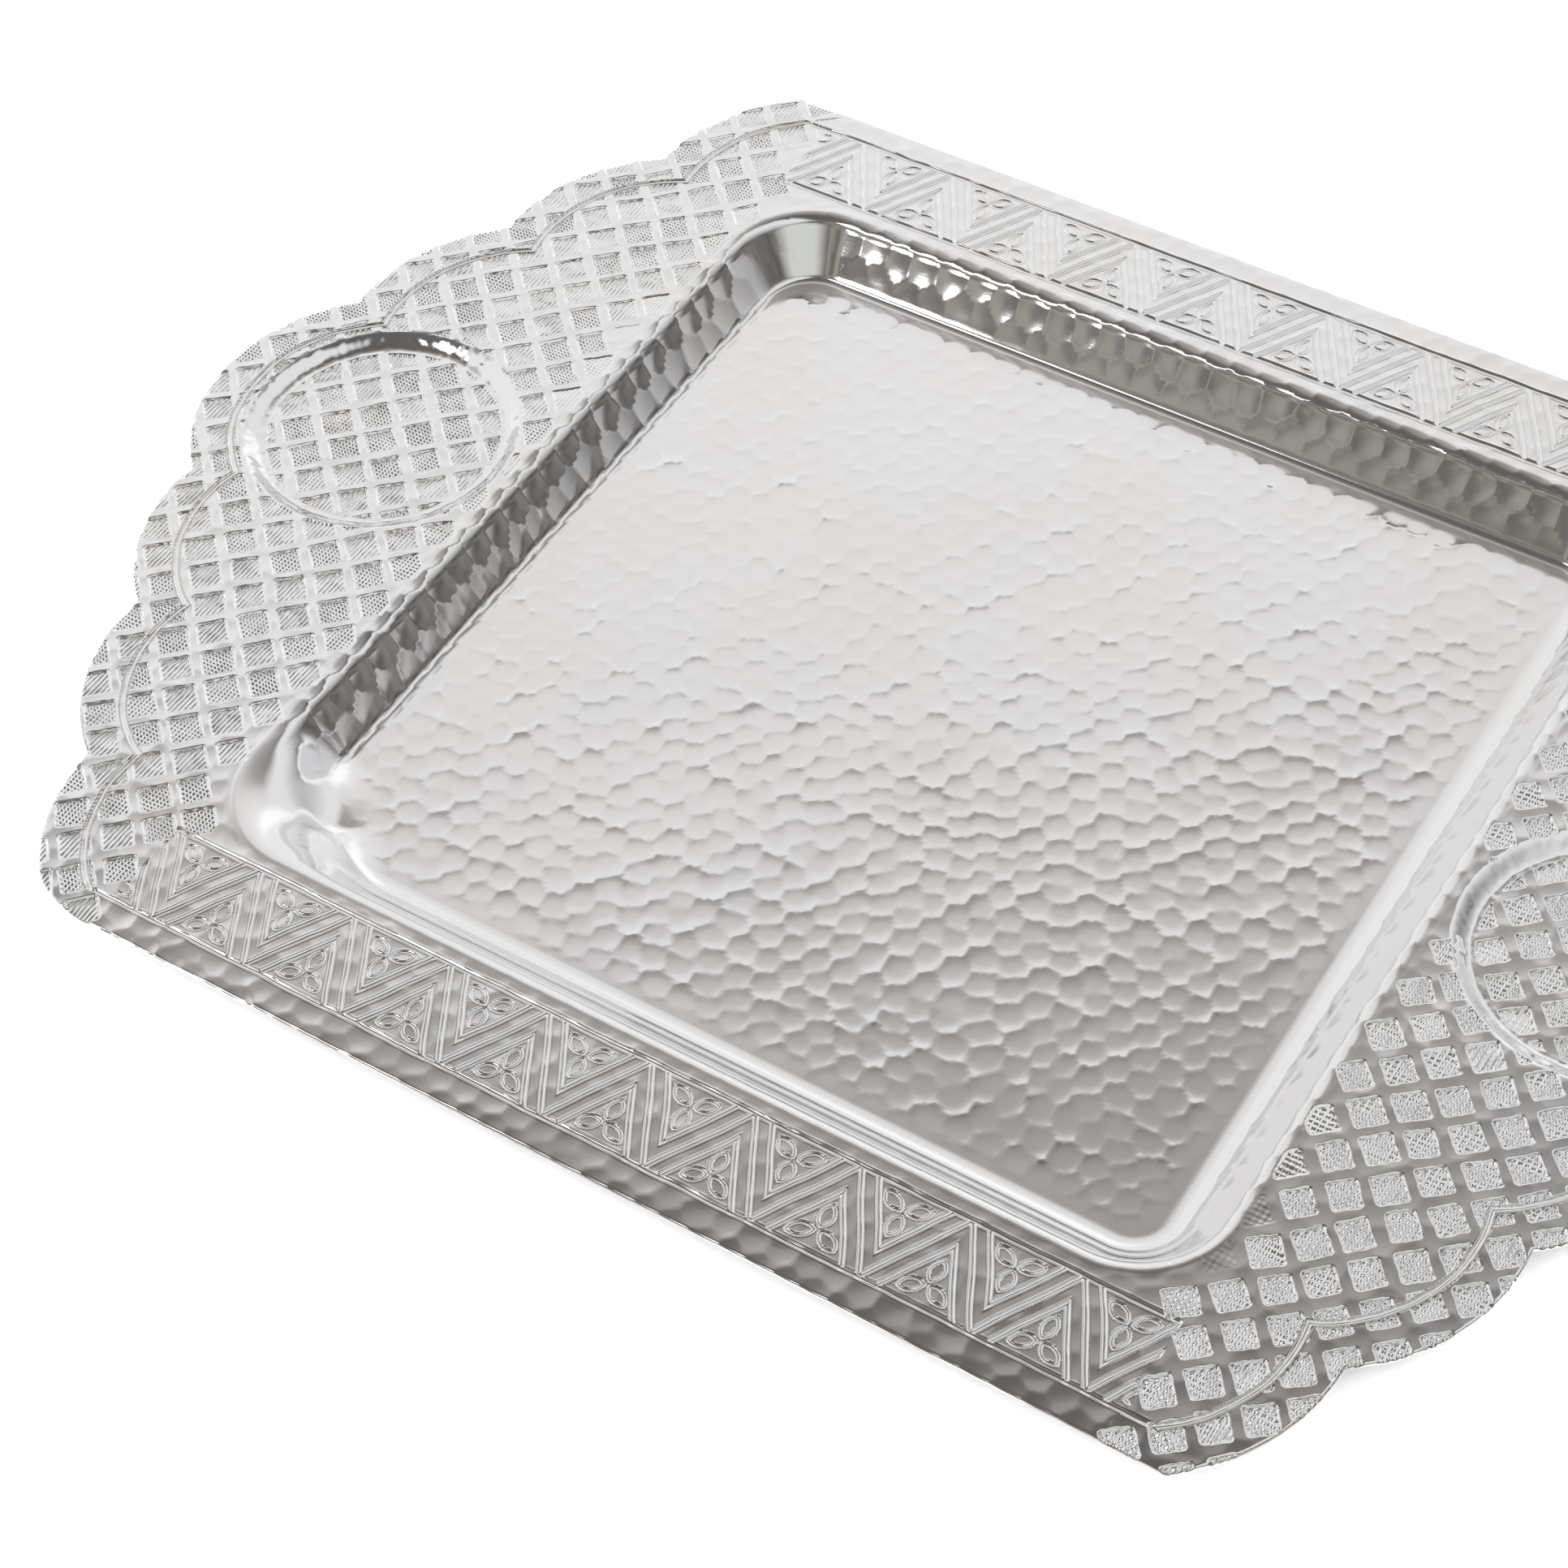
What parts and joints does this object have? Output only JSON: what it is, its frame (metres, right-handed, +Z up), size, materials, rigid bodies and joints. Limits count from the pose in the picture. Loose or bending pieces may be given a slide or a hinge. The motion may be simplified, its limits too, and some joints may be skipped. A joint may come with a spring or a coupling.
{
  "type": "serving tray",
  "caption": "Rectangular serving tray with a hammered square well, chased zigzag sides and scalloped ends that each hold a round cup recess.",
  "frame": {"origin": "middle of the underside of the well floor, on the surface that the tray stands on", "axes": "+X from end to end through both cup recesses, +Y to the back long side, +Z up"},
  "size_m": [0.4872, 0.367, 0.0182],
  "materials": {
    "hammered_plate": "silver-coloured plate on hammered brass sheet, polished",
    "chased_plate": "silver-coloured plate on chased and punched brass sheet, polished with hatched squares"
  },
  "bodies": {
    "root": {"well_floor": "hammered_plate", "well_wall_front": "hammered_plate", "well_wall_back": "hammered_plate", "well_wall_left": "hammered_plate", "well_wall_right": "hammered_plate", "well_corner_front_left": "hammered_plate", "well_corner_front_right": "hammered_plate", "well_corner_back_left": "hammered_plate", "well_corner_back_right": "hammered_plate", "rim_front": "chased_plate", "rim_back": "chased_plate", "wing_left": "chased_plate", "wing_right": "chased_plate", "cup_recess_left": "chased_plate", "cup_recess_right": "chased_plate"}
  },
  "joints": []
}
